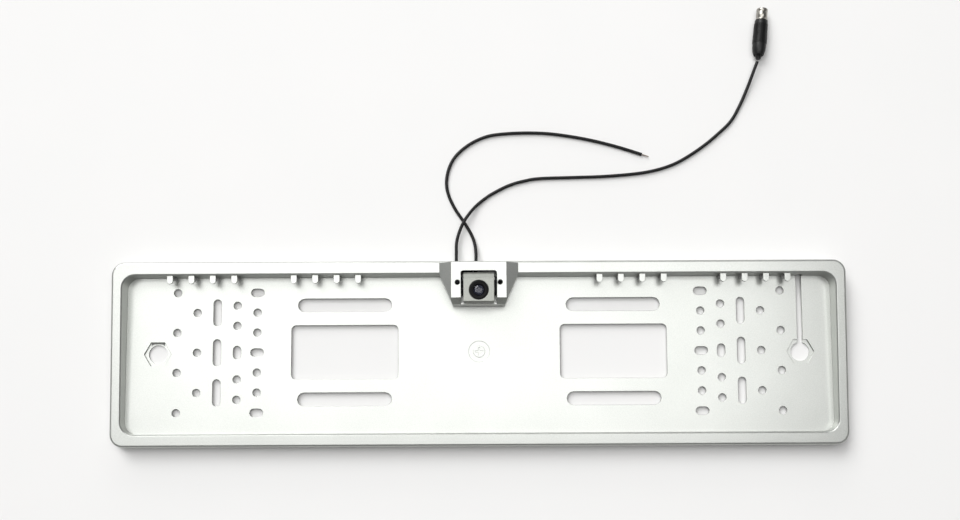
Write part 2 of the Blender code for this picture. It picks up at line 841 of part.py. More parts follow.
def make_bracket():
    """Hat-shaped steel strap: base behind the head, two arms, two flanges on the pod face."""
    sheet = bracket_sheet
    flange = face_screw_x + 0.003
    base = bracket_low + sheet
    under = bracket_high - sheet
    section = [(-flange, under), (-arm_outer, under), (-arm_outer, bracket_low),
               (arm_outer, bracket_low), (arm_outer, under), (flange, under),
               (flange, bracket_high), (arm_inner, bracket_high), (arm_inner, base),
               (-arm_inner, base), (-arm_inner, bracket_high), (-flange, bracket_high)]
    low = head_middle - bracket_below_middle
    bm = bmesh.new()
    add_loft(bm, [[(x, y, z) for x, z in section] for y in (low, low + bracket_depth)])
    bracket = finish(bm, "camera_bracket", black_steel())
    bm = bmesh.new()
    for side in (-1, 1):
        add_prism(bm, circle(side * face_screw_x, head_middle + face_screw_up,
                             face_screw_diameter + 2 * gap, 12), under - 0.001,
                  bracket_high + 0.001)
    cut(bracket, bm)
    for side in (-1, 1):
        hole = turned([(0, arm_inner - 0.001),
                       (pivot_screw_diameter / 2 + gap, arm_inner - 0.001),
                       (pivot_screw_diameter / 2 + gap, arm_outer + 0.001),
                       (0, arm_outer + 0.001)], 16, (side, 0, 0), (0, head_middle, pivot_z))
        cut(bracket, hole)
    for name, side in (("left", -1), ("right", 1)):
        screw("face_screw_" + name, black_steel(), face_screw_head, face_screw_head_height,
              face_screw_diameter, 0.004, (0, 0, 1),
              (side * face_screw_x, head_middle + face_screw_up, pod_front - 0.0009 + gap))


# ---- camera head -----------------------------------------------------------

def face_section():
    """Side outline of the square face: long chamfer at the top, small one at the bottom."""
    bottom, top = head_middle - face_half, head_middle + face_half
    return [(bottom, face_back), (top, face_back), (top, head_front - top_chamfer_drop),
            (top - top_chamfer_run, head_front), (bottom + bottom_chamfer, head_front),
            (bottom, head_front - bottom_chamfer)]


def body_outline(inset, chamfer):
    x = head_body_half_x - inset
    low = head_middle - head_body_half_y + inset
    high = head_middle + head_body_half_y - inset
    c = chamfer
    return [(x - c, low), (x, low + c), (x, high - c), (x - c, high), (-x + c, high),
            (-x, high - c), (-x, low + c), (-x + c, low)]


def case_screw_places():
    dx = head_body_half_x - 0.0021
    dy = head_body_half_y - 0.0021
    return [(sx * dx, head_middle + sy * dy) for sy in (-1, 1) for sx in (-1, 1)]


def make_head_case(empty):
    section = face_section()
    bm = bmesh.new()
    add_loft(bm, [[(x, y, z) for y, z in section] for x in (-face_half, face_half)])
    case = finish(bm, "camera_case", satin_silver())
    bm = bmesh.new()
    add_prism(bm, body_outline(0, 0.0006), case_back, face_back + 0.001)
    join(case, bm)
    bm = bmesh.new()
    add_prism(bm, body_outline(head_wall, post_chamfer), case_back - 0.001, case_floor)
    cut(case, bm)
    bm = bmesh.new()
    add_prism(bm, circle(0, lens_y, barrel_diameter + 2 * gap, 24), case_floor - 0.001,
              head_front + 0.001)
    for x, y in case_screw_places():
        add_prism(bm, circle(x, y, case_screw_diameter + 2 * gap, 10), case_back - 0.001,
                  case_back + 0.0055)
    cut(case, bm)
    bm = bmesh.new()
    add_prism(bm, circle(0, lens_y, lens_ring_diameter + 2 * gap, 32),
              head_front - lens_ring_height + gap, head_front + 0.001)
    cut(case, bm)
    for side in (-1, 1):
        hole = turned([(0, 0.0085), (pivot_screw_diameter / 2 + gap, 0.0085),
                       (pivot_screw_diameter / 2 + gap, 0.0125), (0, 0.0125)], 16,
                      (side, 0, 0), (0, head_middle, pivot_z))
        cut(case, hole)
    bm = bmesh.new()
    wall = head_middle + head_body_half_y
    middle = pivot_z + gland_above_pivot
    half_x = gland_width / 2 + gap
    half_z = gland_height / 2 + gap
    add_box(bm, (gland_x - half_x, gland_x + half_x), (wall - head_wall - 0.001, wall + 0.001),
            (middle - half_z, middle + half_z))
    cut(case, bm)
    hang_on(case, empty)


def make_rear_cover(empty):
    bm = bmesh.new()
    add_prism(bm, body_outline(0, 0.0012), body_back, case_split)
    cover = finish(bm, "camera_rear_cover", satin_silver())
    seat = body_back + case_screw_head_height + gap
    bm = bmesh.new()
    for x, y in case_screw_places():
        add_prism(bm, circle(x, y, case_screw_diameter + 2 * gap, 10), body_back - 0.001,
                  case_split + 0.001)
    cut(cover, bm)
    bm = bmesh.new()
    for x, y in case_screw_places():
        add_prism(bm, circle(x, y, case_screw_head + 2 * gap, 12), body_back - 0.001, seat)
    cut(cover, bm)
    hang_on(cover, empty)
    for k, (x, y) in enumerate(case_screw_places()):
        screw("case_screw_%d" % (k + 1), zinc_steel(), case_screw_head, case_screw_head_height,
              case_screw_diameter, 0.0055, (0, 0, -1), (x, y, seat - gap), empty)


def make_optics(empty):
    """Lens ring, barrel, two lenses, holder, board and image sensor, front to back."""
    at = (0, lens_y, 0)
    ring_low = head_front - lens_ring_height + 2 * gap
    ring = tube(lens_ring_diameter, lens_ring_bore, ring_low, head_front + gap, 32, None, at)
    board_low = case_back + gap
    board_high = board_low + board_thickness
    chip_low = board_high + gap
    holder_low = chip_low
    holder_high = holder_low + holder_height
    barrel_low = chip_low + chip_height + 0.001
    barrel_high = ring_low - gap
    seat = barrel_high - 0.0014
    pieces = [finish(ring, "lens_ring", black_plastic(), True)]

    barrel = finish(tube(barrel_diameter, barrel_bore, barrel_low, barrel_high, 24, None, at),
                    "lens_barrel", black_plastic(), True)
    bm = bmesh.new()
    add_prism(bm, circle(0, lens_y, front_lens_diameter + 2 * gap, 24), seat,
              barrel_high + 0.001)
    cut(barrel, bm)
    pieces.append(barrel)

    radius = front_lens_diameter / 2
    low = seat + gap
    crown = head_front - low - 0.0002
    profile = [(0, low), (radius, low), (radius, low + crown * 0.55),
               (radius * 0.92, low + crown * 0.72), (radius * 0.72, low + crown * 0.87),
               (radius * 0.4, low + crown * 0.97), (0, low + crown)]
    pieces.append(finish(turned(profile, 24, None, at), "front_lens", lens_glass(), True))

    radius = rear_lens_diameter / 2
    low = barrel_low + 0.0008
    profile = [(0, low), (radius, low + 0.0003), (radius, low + 0.0010),
               (radius * 0.6, low + 0.0014), (0, low + 0.0015)]
    pieces.append(finish(turned(profile, 20, None, at), "rear_lens", lens_glass(), True))

    half = holder_half
    bm = bmesh.new()
    add_prism(bm, [(-half, lens_y - half), (half, lens_y - half), (half, lens_y + half),
                   (-half, lens_y + half)], holder_low, holder_high)
    holder = finish(bm, "lens_holder", black_plastic())
    bm = bmesh.new()
    add_prism(bm, circle(0, lens_y, barrel_diameter + 2 * gap, 24), holder_low - 0.001,
              holder_high + 0.001)
    cut(holder, bm)
    pieces.append(holder)

    bm = bmesh.new()
    add_prism(bm, body_outline(head_wall + gap, post_chamfer + gap), board_low, board_high)
    pieces.append(finish(bm, "sensor_board", board_green()))
    bm = bmesh.new()
    half = chip_size / 2
    add_box(bm, (-half, half), (lens_y - half, lens_y + half), (chip_low, chip_low + chip_height))
    pieces.append(finish(bm, "image_sensor", black_plastic()))
    for piece in pieces:
        hang_on(piece, empty)


def make_gland(empty):
    """Rubber gland in the top wall of the camera case that both leads leave by."""
    wall = head_middle + head_body_half_y
    middle = pivot_z + gland_above_pivot
    x = gland_width / 2
    z = gland_height / 2
    rim = 0.0004 + gap
    bm = bmesh.new()
    add_box(bm, (gland_x - x, gland_x + x), (wall - head_wall - 0.0002, wall + gap + 0.0005),
            (middle - z, middle + z))
    gland = finish(bm, "lead_gland", black_rubber())
    bm = bmesh.new()
    add_box(bm, (gland_x - x - rim, gland_x + x + rim), (wall + gap, wall + gap + gland_flange),
            (middle - z - rim, middle + z + rim))
    join(gland, bm)
    hang_on(gland, empty)


def make_pivots(empty):
    for name, side in (("left", -1), ("right", 1)):
        at = (0, head_middle, pivot_z)
        low = head_body_half_x + gap
        washer = tube(washer_diameter, pivot_screw_diameter + 2 * gap, low,
                      low + washer_thickness, 16, (side, 0, 0), at)
        hang_on(finish(washer, "pivot_washer_" + name, zinc_steel(), True), empty)
        seat = (side * (arm_outer + gap), head_middle, pivot_z)
        screw("pivot_screw_" + name, zinc_steel(), pivot_head_diameter, pivot_head_height,
              pivot_screw_diameter, arm_outer + gap - 0.0092, (side, 0, 0), seat, empty)


# ---- leads -----------------------------------------------------------------

def smooth_path(points, spacing):
    """Evenly spaced points on a smooth curve through the given ones."""
    dense = []
    count = len(points)
    for i in range(count - 1):
        p = [points[max(i - 1, 0)], points[i], points[i + 1], points[min(i + 2, count - 1)]]
        for k in range(16):
            t = k / 16
            dense.append(0.5 * (2 * p[1] + (p[2] - p[0]) * t
                                + (2 * p[0] - 5 * p[1] + 4 * p[2] - p[3]) * t ** 2
                                + (3 * p[1] - p[0] - 3 * p[2] + p[3]) * t ** 3))
    dense.append(points[-1])
    length = sum((b - a).length for a, b in zip(dense, dense[1:]))
    steps = max(2, round(length / spacing))
    path = [dense[0]]
    walked = 0.0
    for a, b in zip(dense, dense[1:]):
        reach = (b - a).length
        while len(path) < steps and walked + reach >= length * len(path) / steps:
            share = (length * len(path) / steps - walked) / reach
            path.append(a.lerp(b, share))
        walked += reach
    path.append(dense[-1])
    return path


def lead(name, path, look):
    """Round lead along a path of points."""
    curve = bpy.data.curves.new(name, "CURVE")
    curve.dimensions = "3D"
    curve.bevel_depth = lead_diameter / 2
    curve.bevel_resolution = 2
    curve.use_fill_caps = True
    spline = curve.splines.new("POLY")
    spline.points.add(len(path) - 1)
    for point, place_at in zip(spline.points, path):
        point.co = (*place_at, 1)
    curve.materials.append(look)
    item = bpy.data.objects.new(name, curve)
    bpy.context.scene.collection.objects.link(item)
    return item


def make_inner_leads():
    """Two short stretches inside the pod, from the gland to the grommets."""
    start_y = head_middle + head_body_half_y + gap + gland_flange + gap
    start_z = pivot_z + gland_above_pivot
    end_y = half_height - rim_wall - draft - gap - grommet_flange_thickness - gap
    half_pitch = gland_width / 4
    steps = 18
    for name, exit_x, side in (("video_lead_inner", video_exit_x, -1),
                               ("power_lead_inner", power_exit_x, 1)):
        ends = [Vector((gland_x + side * half_pitch, start_y, start_z)),
                Vector((exit_x, end_y, lead_exit_height))]
        straight = Vector((0, end_y - start_y, 0))
        path = []
        for k in range(steps + 1):
            t = k / steps
            path.append(ends[0] * (1 - t) ** 3 + (ends[0] + straight) * 3 * t * (1 - t) ** 2
                        + (ends[1] - straight) * 3 * t ** 2 * (1 - t) + ends[1] * t ** 3)
        lead(name, path, black_rubber())


def make_grommets():
    """Rubber grommets in the rim's outer wall, flush with it outside."""
    wall = half_height - rim_wall - draft
    for name, x in (("video_grommet", video_exit_x), ("power_grommet", power_exit_x)):
        flange = grommet_flange / 2
        neck = grommet_neck / 2
        profile = [(0, -gap - grommet_flange_thickness), (flange, -gap - grommet_flange_thickness),
                   (flange, -gap), (neck, -gap), (neck, rim_wall), (0, rim_wall)]
        finish(turned(profile, 16, (0, 1, 0), (x, wall, lead_exit_height)), name,
               black_rubber(), True)


def make_free_leads():
    start_y = half_height - draft + gap
    for name, x, route in (("video_lead", video_exit_x, video_route),
                           ("power_lead", power_exit_x, power_route)):
        points = [Vector((x, start_y, lead_exit_height))] + [Vector(point) for point in route]
        lead(name, smooth_path(points, 2.6 * lead_diameter), black_rubber())
    last, end = Vector(power_route[-2]), Vector(power_route[-1])
    direction = (end - last).normalized()
    core = turned([(0, 0), (core_diameter / 2, 0), (core_diameter / 2, core_length * 0.92),
                   (core_diameter * 0.3, core_length), (0, core_length)], 8, direction,
                  end + direction * gap)
    finish(core, "power_lead_core", material("tinned_copper", "b58a66", 0.35, 0.9), True)


def make_jack():
    """Moulded in-line phono jack on the end of the video lead."""
    turn = math.radians(jack_turn)
    axis = Vector((-math.sin(turn), math.cos(turn), 0))
    body = jack_diameter / 2
    mouth = jack_mouth / 2
    entry = jack_entry / 2
    profile = [(0, 0), (entry, 0), (entry + 0.0003, 0.0012)]
    for k in range(1, 6):
        angle = math.pi / 2 * k / 5
        profile.append((entry + (body - entry) * math.sin(angle),
                        jack_entry_length - (jack_entry_length - 0.0015) * math.cos(angle)))
    profile += [(mouth + 0.0002, jack_length - 0.0008), (mouth - 0.0004, jack_length),
                (0, jack_length)]
    jack = finish(turned(profile, 20, axis, jack_start), "video_jack_body", black_plastic(), True)
    socket_depth = 0.004
    seat = jack_length - socket_depth
    hole = turned([(0, seat), (jack_barrel_diameter / 2 + gap, seat),
                   (jack_barrel_diameter / 2 + gap, jack_length + 0.002),
                   (0, jack_length + 0.002)], 20, axis, jack_start)
    cut(jack, hole)
    end = jack_length + jack_barrel_length
    bore = jack_barrel_diameter - 2 * jack_barrel_wall
    finish(tube(jack_barrel_diameter, bore, seat + gap, end, 20, axis, jack_start),
           "video_jack_barrel", material("nickel_plate", "cfcdc6", 0.2, 1.0), True)
    finish(tube(bore - 2 * gap, jack_contact_diameter + 0.0014, seat + gap, end - 0.0008, 20,
                axis, jack_start), "video_jack_insulator",
           material("white_insulator", "e8e6df", 0.5), True)
    finish(tube(jack_contact_diameter + 0.0008, jack_contact_diameter, seat + gap,
                end - 0.0012, 16, axis, jack_start), "video_jack_contact",
           material("gold_plate", "c9a253", 0.25, 1.0), True)


def main():
    for item in list(bpy.data.objects):
        bpy.data.objects.remove(item, do_unlink=True)
    tilt = bpy.data.objects.new("camera_tilt_axis", None)
    tilt.location = (0, head_middle, pivot_z)
    tilt.empty_display_size = 0.01
    bpy.context.scene.collection.objects.link(tilt)
    bpy.context.view_layer.update()
    make_frame()
    make_pod()
    make_back_plate()
    make_rail_screws()
    make_bracket()
    make_head_case(tilt)
    make_rear_cover(tilt)
    make_optics(tilt)
    make_gland(tilt)
    make_pivots(tilt)
    make_inner_leads()
    make_grommets()
    make_free_leads()
    make_jack()


main()
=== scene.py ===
import json
import math

import bmesh
import bpy
from mathutils import Matrix, Vector


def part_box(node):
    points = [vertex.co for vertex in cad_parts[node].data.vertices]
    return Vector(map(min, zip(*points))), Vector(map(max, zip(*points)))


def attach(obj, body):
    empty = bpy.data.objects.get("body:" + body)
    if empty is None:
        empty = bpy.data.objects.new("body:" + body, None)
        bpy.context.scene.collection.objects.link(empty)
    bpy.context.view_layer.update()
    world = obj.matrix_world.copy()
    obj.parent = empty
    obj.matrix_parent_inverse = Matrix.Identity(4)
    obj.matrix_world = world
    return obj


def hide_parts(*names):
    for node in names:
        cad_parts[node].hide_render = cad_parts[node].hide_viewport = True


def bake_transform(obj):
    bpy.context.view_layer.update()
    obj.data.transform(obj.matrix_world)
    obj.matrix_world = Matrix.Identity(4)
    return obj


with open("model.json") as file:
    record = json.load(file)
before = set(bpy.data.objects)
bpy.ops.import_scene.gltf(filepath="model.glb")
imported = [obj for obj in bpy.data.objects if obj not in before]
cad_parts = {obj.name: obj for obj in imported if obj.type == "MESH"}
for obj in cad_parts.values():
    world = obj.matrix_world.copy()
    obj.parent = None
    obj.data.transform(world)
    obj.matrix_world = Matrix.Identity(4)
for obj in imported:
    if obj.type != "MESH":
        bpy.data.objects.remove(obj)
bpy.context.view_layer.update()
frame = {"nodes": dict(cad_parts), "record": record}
mm = 0.001
weldGap = 0.001 * mm


# small helpers

def linearColour(hexCode, alpha=1.0):
    parts = [int(hexCode[i:i + 2], 16) / 255 for i in (0, 2, 4)]
    return tuple(c / 12.92 if c <= 0.04045 else ((c + 0.055) / 1.055) ** 2.4 for c in parts) + (alpha,)


def addNode(tree, kind, inputs=None, **settings):
    node = tree.nodes.new(kind)
    for name, value in settings.items():
        setattr(node, name, value)
    for socket, value in (inputs or {}).items():
        if isinstance(value, bpy.types.NodeSocket):
            tree.links.new(value, node.inputs[socket])
        else:
            node.inputs[socket].default_value = value
    return node


def selectOnly(piece):
    bpy.ops.object.select_all(action='DESELECT')
    piece.select_set(True)
    bpy.context.view_layer.objects.active = piece


def pickFaces(piece, wanted):
    # selects the faces that pass a test on their centre and normal, and stays in edit mode
    bpy.ops.object.mode_set(mode='OBJECT')
    mesh = piece.data
    for part in (mesh.vertices, mesh.edges, mesh.polygons):
        part.foreach_set("select", [False] * len(part))
    for face in mesh.polygons:
        face.select = bool(wanted(face))
    bpy.ops.object.mode_set(mode='EDIT')
    bpy.ops.mesh.select_mode(type='FACE')


def settle(piece, smoothAngle=35):
    # place goes into the mesh, faces point out
    bpy.ops.object.mode_set(mode='OBJECT')
    selectOnly(piece)
    bpy.ops.object.transform_apply(location=True, rotation=True, scale=True)
    bpy.ops.object.mode_set(mode='EDIT')
    bpy.ops.mesh.select_all(action='SELECT')
    bpy.ops.mesh.remove_doubles(threshold=weldGap)
    bpy.ops.mesh.normals_make_consistent(inside=False)
    bpy.ops.object.mode_set(mode='OBJECT')
    bpy.ops.object.shade_smooth_by_angle(angle=math.radians(smoothAngle))


def paintWith(piece, material):
    piece.data.materials.clear()
    piece.data.materials.append(material)


def spinProfile(name, profile, steps=64):
    # (radius, height) points, first and last on the axis or closing a ring, spun about Z
    bpy.ops.object.select_all(action='DESELECT')
    bpy.ops.mesh.primitive_plane_add(size=1 * mm, location=(0, 0, 0))
    piece = bpy.context.active_object
    piece.name = name
    ring = profile[0][0] > 0
    bpy.ops.object.mode_set(mode='EDIT')
    bpy.ops.mesh.select_all(action='SELECT')
    bpy.ops.mesh.delete(type='VERT')
    bpy.ops.object.mode_set(mode='OBJECT')
    points = [(r, 0, h) for r, h in profile]
    edges = [(i, i + 1) for i in range(len(points) - 1)]
    if ring:
        edges.append((len(points) - 1, 0))
    piece.data.from_pydata(points, edges, [])
    bpy.ops.object.mode_set(mode='EDIT')
    bpy.ops.mesh.select_all(action='SELECT')
    bpy.ops.mesh.spin(steps=steps, angle=2 * math.pi, center=(0, 0, 0), axis=(0, 0, 1))
    bpy.ops.mesh.select_all(action='SELECT')
    bpy.ops.mesh.remove_doubles(threshold=2 * weldGap)
    bpy.ops.mesh.normals_make_consistent(inside=False)
    bpy.ops.object.mode_set(mode='OBJECT')
    return piece


def standAlong(piece, at, axis):
    piece.rotation_mode = 'QUATERNION'
    piece.rotation_quaternion = Vector((0, 0, 1)).rotation_difference(Vector(axis))
    piece.location = at


def smoothRoute(points, perStretch=10):
    # Catmull-Rom through the route's own points
    points = [Vector(p) for p in points]
    last = len(points) - 1
    path = []
    for i in range(last):
        p = [points[max(i - 1, 0)], points[i], points[i + 1], points[min(i + 2, last)]]
        for k in range(perStretch):
            t = k / perStretch
            path.append(0.5 * (2 * p[1] + (p[2] - p[0]) * t
                               + (2 * p[0] - 5 * p[1] + 4 * p[2] - p[3]) * t ** 2
                               + (3 * p[1] - p[0] - 3 * p[2] + p[3]) * t ** 3))
    return path + [points[-1]]


def roundLead(name, path, diameter, sides=4):
    curve = bpy.data.curves.new(name, 'CURVE')
    curve.dimensions = '3D'
    curve.bevel_depth = diameter / 2
    curve.bevel_resolution = sides
    curve.use_fill_caps = True
    line = curve.splines.new('POLY')
    line.points.add(len(path) - 1)
    for spot, place in zip(line.points, path):
        spot.co = (*place, 1)
    lead = bpy.data.objects.new(name, curve)
    bpy.context.scene.collection.objects.link(lead)
    return lead


# camera, looking down on the frame from in front of its lower edge

camera = {
    "aim": Vector((0.0003, -0.0004, 0.003)),
    "distance": 0.76,
    "leanDegrees": 5.0,
    "rollDegrees": -0.28,
    "lens": 38.60,
    "shiftUp": 0.0988,
    "sensorWidth": 36,
    "nearClip": 0.01,
    "farClip": 20,
}


def makeCamera(c):
    data = bpy.data.cameras.new("camera")
    eye = bpy.data.objects.new("camera", data)
    bpy.context.scene.collection.objects.link(eye)
    lean = math.radians(c["leanDegrees"])
    eye.location = c["aim"] + Vector((0, -math.sin(lean), math.cos(lean))) * c["distance"]
    eye.rotation_euler = (lean, 0, math.radians(c["rollDegrees"]))
    data.lens = c["lens"]
    data.sensor_width = c["sensorWidth"]
    data.shift_y = c["shiftUp"]
    data.clip_start = c["nearClip"]
    data.clip_end = c["farClip"]
    bpy.context.scene.camera = eye


makeCamera(camera)


# materials

def newMaterial(name):
    material = bpy.data.materials.new(name)
    material.use_nodes = True
    tree = material.node_tree
    return material, tree, tree.nodes["Principled BSDF"]


def setInputs(shader, **values):
    for name, value in values.items():
        shader.inputs[name.replace("_", " ")].default_value = value


def wire(tree, shader, colour, gloss, normal):
    tree.links.new(colour, shader.inputs["Base Color"])
    tree.links.new(gloss, shader.inputs["Roughness"])
    tree.links.new(normal, shader.inputs["Normal"])


def addNoise(tree, vector, sizeMm, detail, roughness=0.5):
    return addNode(tree, "ShaderNodeTexNoise", {"Vector": vector, "Scale": 1 / (sizeMm * mm), "Detail": detail,
                                                "Roughness": roughness})


def addTones(tree, factor, dark, light, span):
    ramp = addNode(tree, "ShaderNodeValToRGB", {"Fac": factor})
    for i, (at, shade) in enumerate(zip(span, (dark, light))):
        ramp.color_ramp.elements[i].position = at
        ramp.color_ramp.elements[i].color = linearColour(shade)
    return ramp.outputs["Color"]


def addGloss(tree, noise, roughness, below, above):
    # the middle of the noise is spread over the whole range of roughness
    spread = addNode(tree, "ShaderNodeMapRange", {"Value": noise.outputs["Fac"],
                                                  "From Min": 0.3, "From Max": 0.7,
                                                  "To Min": roughness - below, "To Max": roughness + above})
    return spread.outputs["Result"]


def addBump(tree, noise, strength, heightMm, **more):
    bump = addNode(tree, "ShaderNodeBump", {"Height": noise.outputs["Fac"], "Strength": strength,
                                            "Distance": heightMm * mm, **more})
    return bump.outputs["Normal"]


def silverPaintOnAbs(name, dark, light, metallic, roughness, grainMm=0.55, peelMm=2.4, cloudMm=60):
    # sprayed silver lacquer on moulded ABS: fine aluminium flake under a thin satin film,
    # with a faint orange peel. The flake is drawn about ten times too coarse so that it shows.
    material, tree, shader = newMaterial(name)
    place = addNode(tree, "ShaderNodeTexCoord").outputs["Object"]
    flake = addNoise(tree, place, grainMm, 2.0, 0.6)
    cloud = addNoise(tree, place, cloudMm, 3.0)
    flakeShare = 0.75
    both = addNode(tree, "ShaderNodeMath", {0: flake.outputs["Fac"], 1: flakeShare}, operation='MULTIPLY')
    both = addNode(tree, "ShaderNodeMath", {0: cloud.outputs["Fac"], 1: 1 - flakeShare, 2: both.outputs[0]},
                   operation='MULTIPLY_ADD')
    peel = addNoise(tree, place, peelMm, 1.0)
    peelNormal = addBump(tree, peel, 0.05, 0.2)
    wire(tree, shader, addTones(tree, both.outputs[0], dark, light, (0.36, 0.64)),
         addGloss(tree, flake, roughness, 0.05, 0.07), addBump(tree, flake, 0.10, 0.03, Normal=peelNormal))
    setInputs(shader, Metallic=metallic, IOR=1.5, Coat_Weight=0.25, Coat_Roughness=0.22)
    return material


def mouldedPlastic(name, dark, light, roughness, grainMm=0.8, strength=0.08, shine=0.5, mottleMm=9):
    # moulded plastic: an even colour with slight mottling and a fine spark-eroded grain
    material, tree, shader = newMaterial(name)
    place = addNode(tree, "ShaderNodeTexCoord").outputs["Object"]
    grain = addNoise(tree, place, grainMm, 3.0, 0.55)
    mottle = addNoise(tree, place, mottleMm, 2.0)
    wire(tree, shader, addTones(tree, mottle.outputs["Fac"], dark, light, (0.35, 0.68)),
         addGloss(tree, grain, roughness, 0.05, 0.08), addBump(tree, grain, strength, 0.05))
    setInputs(shader, IOR=1.5, Specular_IOR_Level=shine)
    return material


def platedMetal(name, dark, light, roughness, grainMm=0.5, along=(1, 1, 1)):
    # plated or drawn metal: small changes of tone and gloss, stretched along the drawing direction
    material, tree, shader = newMaterial(name)
    place = addNode(tree, "ShaderNodeTexCoord").outputs["Object"]
    turn = addNode(tree, "ShaderNodeMapping", {"Vector": place, "Scale": along})
    grain = addNoise(tree, turn.outputs["Vector"], grainMm, 4.0, 0.6)
    wire(tree, shader, addTones(tree, grain.outputs["Fac"], dark, light, (0.3, 0.7)),
         addGloss(tree, grain, roughness, 0.06, 0.1), addBump(tree, grain, 0.12, 0.02))
    setInputs(shader, Metallic=1.0)
    return material


def coatedGlass(name, tint, hazeMm=3):
    # optical glass with an anti-reflection coating: nearly clear, with a faint violet cast
    material, tree, shader = newMaterial(name)
    place = addNode(tree, "ShaderNodeTexCoord").outputs["Object"]
    haze = addNoise(tree, place, hazeMm, 1.0)
    gloss = addNode(tree, "ShaderNodeMapRange", {"Value": haze.outputs["Fac"], "To Min": 0.01, "To Max": 0.05})
    tree.links.new(gloss.outputs["Result"], shader.inputs["Roughness"])
    setInputs(shader, Base_Color=linearColour(tint), IOR=1.45, Transmission_Weight=0.9,
              Specular_IOR_Level=0.15, Coat_Weight=0.1, Coat_Roughness=0.02)
    return material


def solderMask(name, runMm=4):
    # glass-epoxy board under green solder mask, with copper runs showing as lighter lines
    material, tree, shader = newMaterial(name)
    place = addNode(tree, "ShaderNodeTexCoord").outputs["Object"]
    runs = addNode(tree, "ShaderNodeTexBrick", {"Vector": place, "Scale": 1 / (runMm * mm), "Mortar Size": 0.03,
                                                "Color1": linearColour("14532c"),
                                                "Color2": linearColour("175c31"),
                                                "Mortar": linearColour("2f7d47")})
    tree.links.new(runs.outputs["Color"], shader.inputs["Base Color"])
    setInputs(shader, Roughness=0.35, Coat_Weight=0.4)
    return material


framePaint = silverPaintOnAbs("silverLacquerOnAbs", "aeb0ac", "bec0bc", 0.82, 0.33)
headPaint = silverPaintOnAbs("satinSilverLacquer", "80827e", "94968f", 0.65, 0.4, 0.45)
leadJacket = mouldedPlastic("softPvcJacket", "0a0a0b", "131314", 0.4, 0.9, 0.10, 0.25)
plugPlastic = mouldedPlastic("mouldedPvcPlug", "0c0c0d", "161617", 0.42, 0.7, 0.14, 0.35)
lensPlastic = mouldedPlastic("blackAbsMoulding", "050506", "0a0a0b", 0.42, 0.6, 0.05, 0.13)
rubber = mouldedPlastic("nitrileRubber", "0c0c0c", "171716", 0.6, 0.6, 0.15)
insulator = mouldedPlastic("whitePolyethylene", "dcdad2", "eceae4", 0.45)
blackZinc = platedMetal("blackZincPlate", "0e0e0f", "1d1d1f", 0.4)
brightZinc = platedMetal("brightZincPlate", "9fa09c", "c6c6c2", 0.28)
blackSheet = platedMetal("blackenedSheetSteel", "141415", "222224", 0.45, 0.8, (1, 6, 1))
nickel = platedMetal("nickelPlate", "8f8c86", "b3b0a9", 0.28, 0.6, (1, 1, 4))
gold = platedMetal("goldFlash", "b8903f", "d9b565", 0.22)
tinnedCopper = platedMetal("tinnedCopperStrand", "7d736c", "b5aaa1", 0.35, 0.3)
glass = coatedGlass("coatedLensGlass", "686b80")
boardMask = solderMask("greenSolderMask")
sensorBlack = mouldedPlastic("ceramicSensorPackage", "0b0b0d", "141417", 0.3, 0.5, 0.03, 0.3)


# leads: routes from the grommets in the top edge to their ends on the floor

leads = {
    "diameter": 2.4 * mm,
    "videoExit": (-0.0166, 0.0679, 0.006),
    "powerExit": (-0.0020, 0.0679, 0.006),
    "videoRoute": [
        (-0.0166, 0.0712, 0.0059), (-0.0166, 0.0750, 0.0054), (-0.0163, 0.0837, 0.0043),
        (-0.0143, 0.0915, 0.0040), (-0.0108, 0.0994, 0.0041), (-0.0062, 0.1062, 0.0035),
        (-0.0011, 0.1122, 0.0020), (0.0048, 0.1172, 0.0013), (0.0108, 0.1212, 0.0012),
        (0.0227, 0.1272, 0.0012), (0.0346, 0.1307, 0.0012), (0.0465, 0.1325, 0.0012),
        (0.0702, 0.1332, 0.0012), (0.0940, 0.1339, 0.0012), (0.1178, 0.1358, 0.0012),
        (0.1333, 0.1385, 0.0012), (0.1470, 0.1430, 0.0012), (0.1587, 0.1494, 0.0012),
        (0.1705, 0.1575, 0.0012), (0.1813, 0.1665, 0.0012), (0.1912, 0.1764, 0.0012),
        (0.1984, 0.1891, 0.0015), (0.2039, 0.2018, 0.0029), (0.2083, 0.2135, 0.0047),
        (0.2110, 0.2205, 0.0052)],
    "powerRoute": [
        (-0.0020, 0.0712, 0.0058), (-0.0021, 0.0755, 0.0046), (-0.0028, 0.0822, 0.0026),
        (-0.0052, 0.0896, 0.0014), (-0.0108, 0.0994, 0.0012), (-0.0177, 0.1099, 0.0012),
        (-0.0225, 0.1206, 0.0012), (-0.0239, 0.1301, 0.0012), (-0.0219, 0.1408, 0.0012),
        (-0.0166, 0.1503, 0.0012), (-0.0070, 0.1586, 0.0012), (0.0048, 0.1644, 0.0012),
        (0.0167, 0.1667, 0.0012), (0.0346, 0.1676, 0.0012), (0.0524, 0.1670, 0.0012),
        (0.0702, 0.1646, 0.0012), (0.0881, 0.1610, 0.0012), (0.1059, 0.1562, 0.0012),
        (0.1231, 0.1506, 0.0012)],
    "videoLength": 0.308,
    "powerLength": 0.236,
}

videoPath = smoothRoute([leads["videoExit"]] + leads["videoRoute"])
powerPath = smoothRoute([leads["powerExit"]] + leads["powerRoute"])
videoLead = roundLead("videoLead", videoPath, leads["diameter"])
powerLead = roundLead("powerLead", powerPath, leads["diameter"])
paintWith(videoLead, leadJacket)
paintWith(powerLead, leadJacket)
print("leads laid")


# moulded phono jack on the video lead

